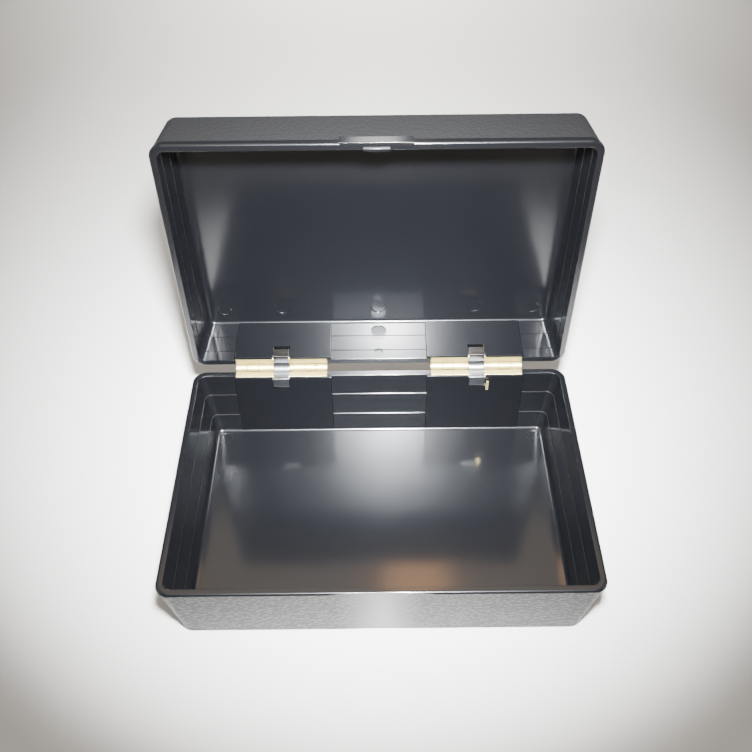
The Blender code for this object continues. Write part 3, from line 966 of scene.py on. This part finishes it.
def spring_span(near, far):
    """Hollow arc between the flanges that passes the pin with clearance."""
    closest = PIN_RADIUS + CLEARANCE + SPRING_THICKNESS / 2
    middle = [(a + b) / 2 for a, b in zip(near, far)]
    reach = math.hypot(*middle)
    out_y, out_z = middle[0] / reach, middle[1] / reach
    half = math.dist(near, far) / 2
    sag = reach - closest
    radius = (half**2 + sag**2) / (2 * sag)
    sweep = math.asin(half / radius)
    points = []
    for step in range(SPAN_STEPS + 1):
        angle = sweep * (2 * step / SPAN_STEPS - 1)
        away = closest + radius * (1 - math.cos(angle))
        along = radius * math.sin(angle)
        points.append((out_y * away + out_z * along, out_z * away - out_y * along))
    return points


def make_spring(label, x_centre, look):
    """Flat strip hooked in the base's window, carried over both flanges and into the lid's window."""
    lower, upper = spring_half(BASE), [swing(point) for point in reversed(spring_half(LID))]
    near, far = lower[-1], upper[0]
    span = spring_span(near, far)
    rows = round_corners(lower, SPRING_BEND) + span[1:-1] + round_corners(upper, SPRING_BEND)
    columns = [x_centre + SPRING_WIDTH * (n / SPRING_COLUMNS - 0.5) for n in range(SPRING_COLUMNS + 1)]
    node = f"hinge_{label}_spring"
    strip = sheet_from_path(
        node + "_strip", rows, columns, lambda row, x: True, SPRING_THICKNESS, SPRING_BEVEL, look
    )
    smooth(strip, SHEET_SHARP_DEGREES)
    apply_modifiers(strip)
    strip.data.transform(PLACES[BASE])
    start, end = (AXIS + Vector((0.0, *point)) * MM for point in (near, far))
    start.x = end.x = x_centre * MM
    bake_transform(strip)
    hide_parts(node)


# ---------------------------------------------------------------- floor, lights and camera


def make_floor():
    made = Nodes("pale_floor")
    tone = made.noise(made.where(), scale=9.0, detail=3.0)
    made.link(made.ramp(tone, (0.86, 0.86, 0.855), (0.84, 0.84, 0.835)), made.shader.inputs["Base Color"])
    made.set(Roughness=0.18)
    body = bmesh.new()
    bmesh.ops.create_grid(body, x_segments=1, y_segments=1, size=FLOOR_HALF)
    floor = make_object("floor", body, [made.material])
    floor.location.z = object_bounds()[0].z - FLOOR_GAP


def make_light(name, position, target, size, power, colour=(1.0, 1.0, 1.0), spread=180.0):
    """A round area light."""
    light = bpy.data.lights.new(name, "AREA")
    light.shape = "DISK"
    light.size = size
    light.energy = power
    light.color = colour
    light.spread = math.radians(spread)
    made = bpy.data.objects.new(name, light)
    bpy.context.scene.collection.objects.link(made)
    made.location = position
    made.rotation_mode = "QUATERNION"
    made.rotation_quaternion = (Vector(target) - Vector(position)).to_track_quat("-Z", "Y")


def make_camera():
    """The viewpoint, given by its distance and direction from the middle of the base's rear rim."""
    target = Vector((0.0, base_high.y, base_high.z))
    rise, yaw = math.radians(CAMERA_ELEVATION), math.radians(CAMERA_YAW)
    back = Vector((math.sin(yaw) * math.cos(rise), -math.cos(yaw) * math.cos(rise), math.sin(rise)))
    right = Vector((math.cos(yaw), math.sin(yaw), 0.0))
    turn = Matrix((right, back.cross(right), back)).transposed().to_4x4()
    camera = bpy.data.objects.new("camera", bpy.data.cameras.new("camera"))
    bpy.context.scene.collection.objects.link(camera)
    roll = Matrix.Rotation(math.radians(CAMERA_ROLL), 4, "Z")
    camera.matrix_world = Matrix.Translation(target + back * CAMERA_DISTANCE) @ turn @ roll
    camera.data.lens = CAMERA_LENS
    camera.data.shift_x, camera.data.shift_y = CAMERA_SHIFT
    camera.data.clip_start = CAMERA_CLIP
    bpy.context.scene.camera = camera
    return camera


def make_world(colour, strength):
    world = bpy.data.worlds.new("studio")
    bpy.context.scene.world = world
    world.use_nodes = True
    background = world.node_tree.nodes["Background"]
    background.inputs["Color"].default_value = (*colour, 1.0)
    background.inputs["Strength"].default_value = strength


def make_lights(camera):
    """A key beside the lens, soft lights above and at the sides, and small ones from behind."""
    centre = (0.0, 0.0, base_high.z)
    key = camera.matrix_world @ Vector((KEY_RIGHT, KEY_ABOVE, 0.0))
    warm, orange, cream = (1.0, 0.8, 0.56), (1.0, 0.48, 0.18), (1.0, 0.96, 0.9)
    make_light("key", key, (0.0, 0.05, 0.06), size=KEY_SIZE, power=2.7, spread=58.0)
    make_light("top", (0.0, 0.3, 1.3), centre, size=1.2, power=4.8, colour=warm)
    make_light("lamp", (0.06, 0.55, 1.05), centre, size=0.12, power=0.26, colour=orange)
    make_light("back", (0.0, 1.0, 0.7), (0.0, 0.6, 0.0), size=0.15, power=2.2, colour=cream, spread=44.0)
    make_light("edge", (0.0, 1.1, 0.52), (0.0, 0.07, 0.14), size=0.08, power=0.12)
    for name, sign in (("left", -1), ("right", 1)):
        make_light(name, (sign * 1.1, -0.1, 0.6), centre, size=0.8, power=2.0)
    make_world((0.9, 0.95, 1.0), 0.16)


def main():
    shell_looks = [
        plastic_inside("black_plastic_satin", 0.28, 0.3, haze_level=0.22, gloss_rough=0.12),
        plastic_outside("black_plastic_grained"),
        plastic_inside("black_plastic_polished", 0.28, 0.29, haze_level=0.06, gloss_rough=0.1, gloss=0.6),
        plastic_outside("black_plastic_scoop"),
    ]
    brass = sheet_brass("brass_sheet")
    # the strip is painted darker where it enters the lid's windows, as painted shade
    strip_steel = steel("spring_steel_strip", (0.6, 0.61, 0.64), 0.15, 0.2, (2000.0, 60.0, 60.0), PAINTED_SHADE_HEIGHTS)
    pin_steel = steel("pin_steel_wire", (0.3, 0.28, 0.24), 0.3, 0.4, (60.0, 1500.0, 1500.0))
    make_shell(BASE, shell_looks)
    make_shell(LID, shell_looks)
    for label, sign in (("left", -1), ("right", 1)):
        x_centre = sign * HINGE_X
        make_leaf(label, BASE, x_centre, brass)
        make_leaf(label, LID, x_centre, brass)
        make_pin(label, x_centre, pin_steel)
        make_spring(label, x_centre, strip_steel)
    make_floor()
    make_lights(make_camera())


main()
